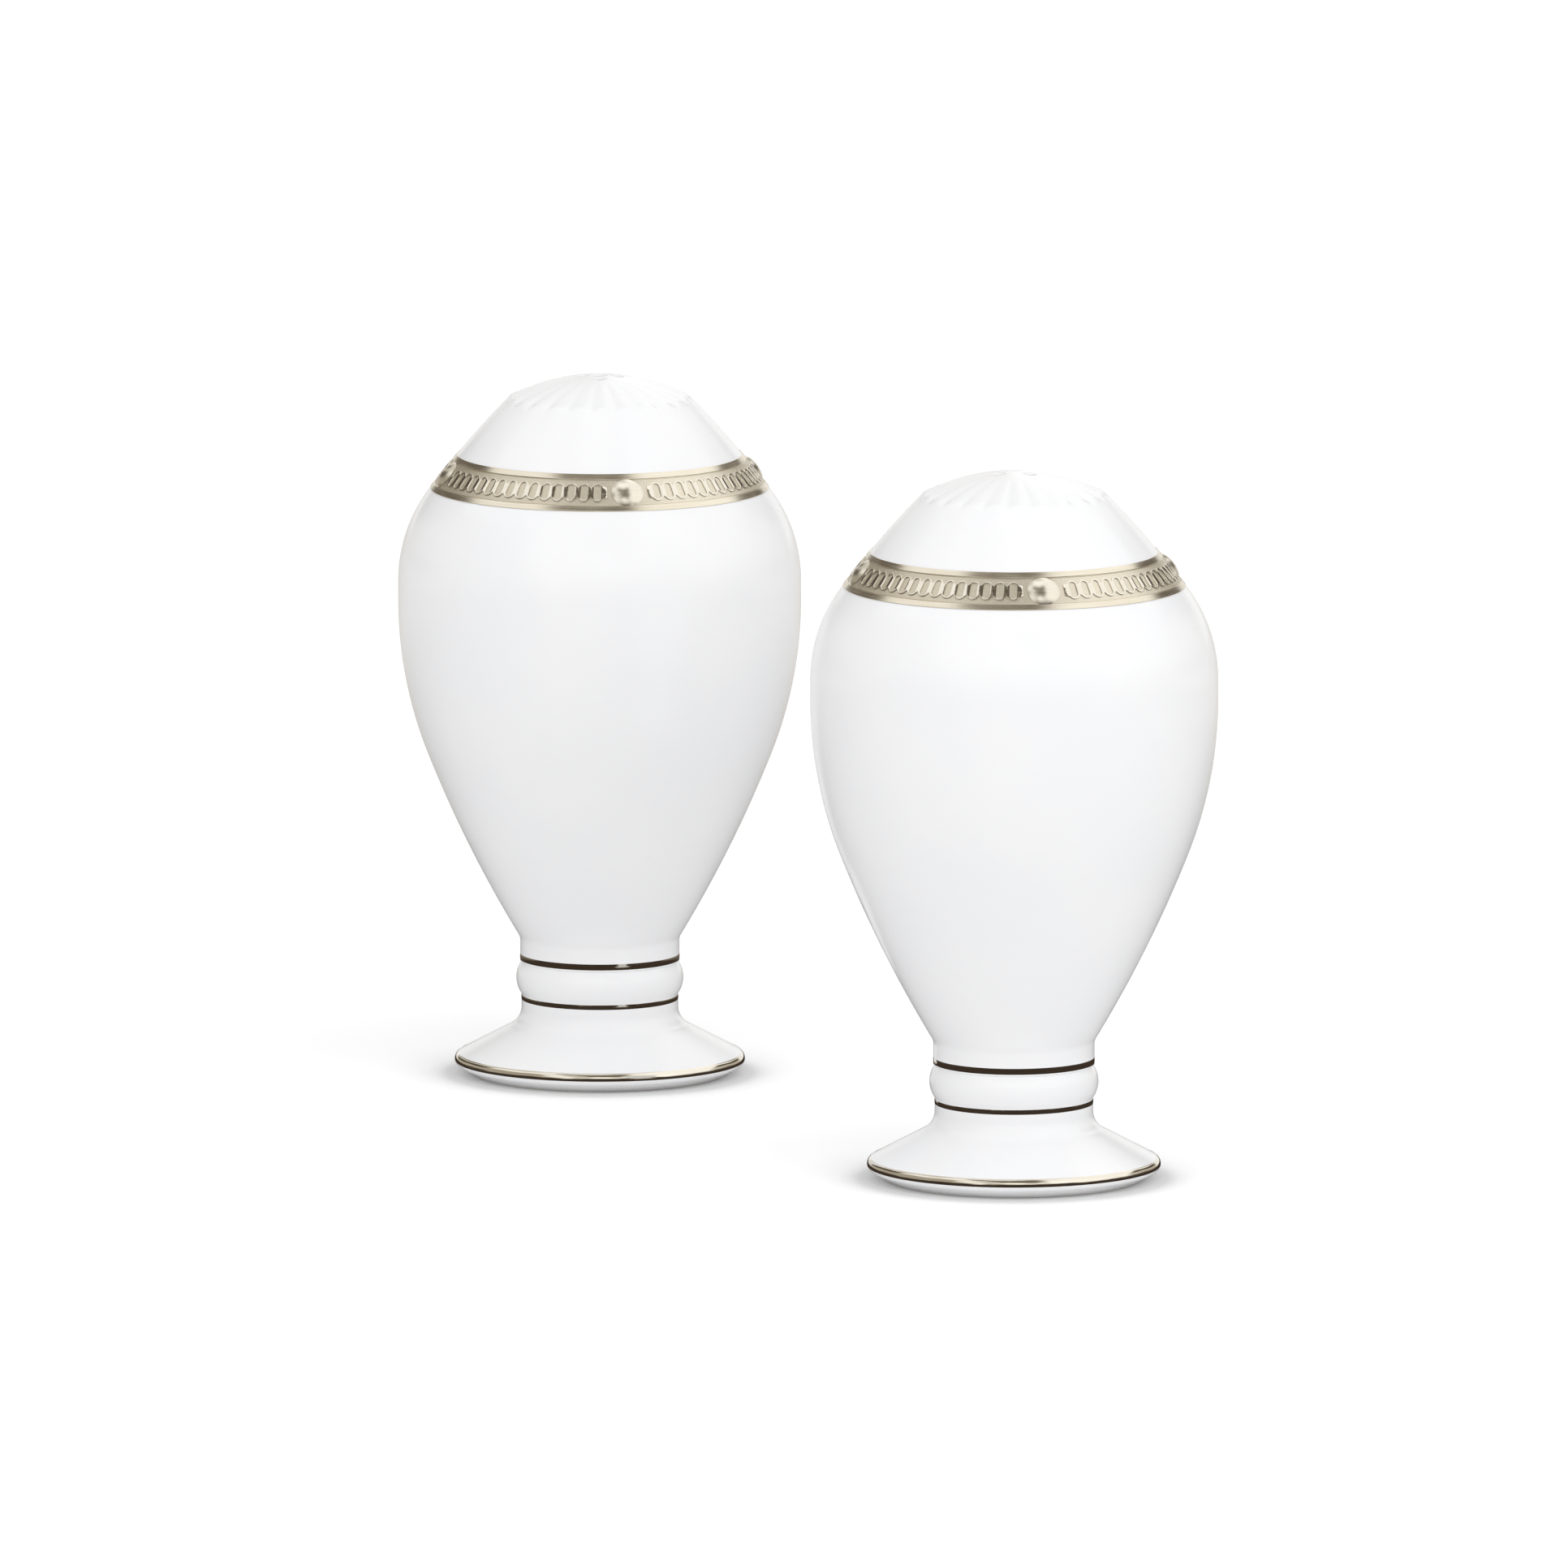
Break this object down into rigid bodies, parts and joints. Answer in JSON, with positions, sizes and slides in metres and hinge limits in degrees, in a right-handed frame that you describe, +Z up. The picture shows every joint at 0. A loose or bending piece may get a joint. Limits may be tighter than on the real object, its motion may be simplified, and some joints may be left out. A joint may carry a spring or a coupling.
{
  "type": "salt and pepper shakers",
  "caption": "Pair of footed egg-shaped china shakers with ribbed pierced domes, platinum chain band and lines, filled through a stoppered base.",
  "frame": {"origin": "on the table under the middle of the pair", "axes": "+Z up along both shakers, -Y towards the viewer, salt behind on the left and pepper in front on the right"},
  "size_m": [0.1247, 0.1646, 0.108],
  "materials": {
    "china": "clear gloss glaze over white bone china",
    "platinum": "fired-on polished platinum, warm grey mirror",
    "etched_platinum": "fired-on platinum over a fine etched ground, satin",
    "stopper": "soft milky white moulded stopper, satin"
  },
  "bodies": {
    "salt": {"salt_body": "china", "salt_band": "etched_platinum", "salt_band_links": "platinum", "salt_band_bosses": "platinum", "salt_neck_line_upper": "platinum", "salt_neck_line_lower": "platinum", "salt_foot_line": "platinum"},
    "salt_stopper": {"salt_stopper": "stopper"},
    "pepper": {"pepper_body": "china", "pepper_band": "etched_platinum", "pepper_band_links": "platinum", "pepper_band_bosses": "platinum", "pepper_neck_line_upper": "platinum", "pepper_neck_line_lower": "platinum", "pepper_foot_line": "platinum"},
    "pepper_stopper": {"pepper_stopper": "stopper"}
  },
  "joints": [
    {"name": "salt_stopper_pull", "type": "slide", "parent": "salt", "child": "salt_stopper", "axis": [0, 0, -1], "range_m": [0, 0.04]},
    {"name": "pepper_lift", "type": "slide", "parent": "salt", "child": "pepper", "axis": [0, 0, 1], "range_m": [0, 0.15]},
    {"name": "pepper_stopper_pull", "type": "slide", "parent": "pepper", "child": "pepper_stopper", "axis": [0, 0, -1], "range_m": [0, 0.04]}
  ]
}
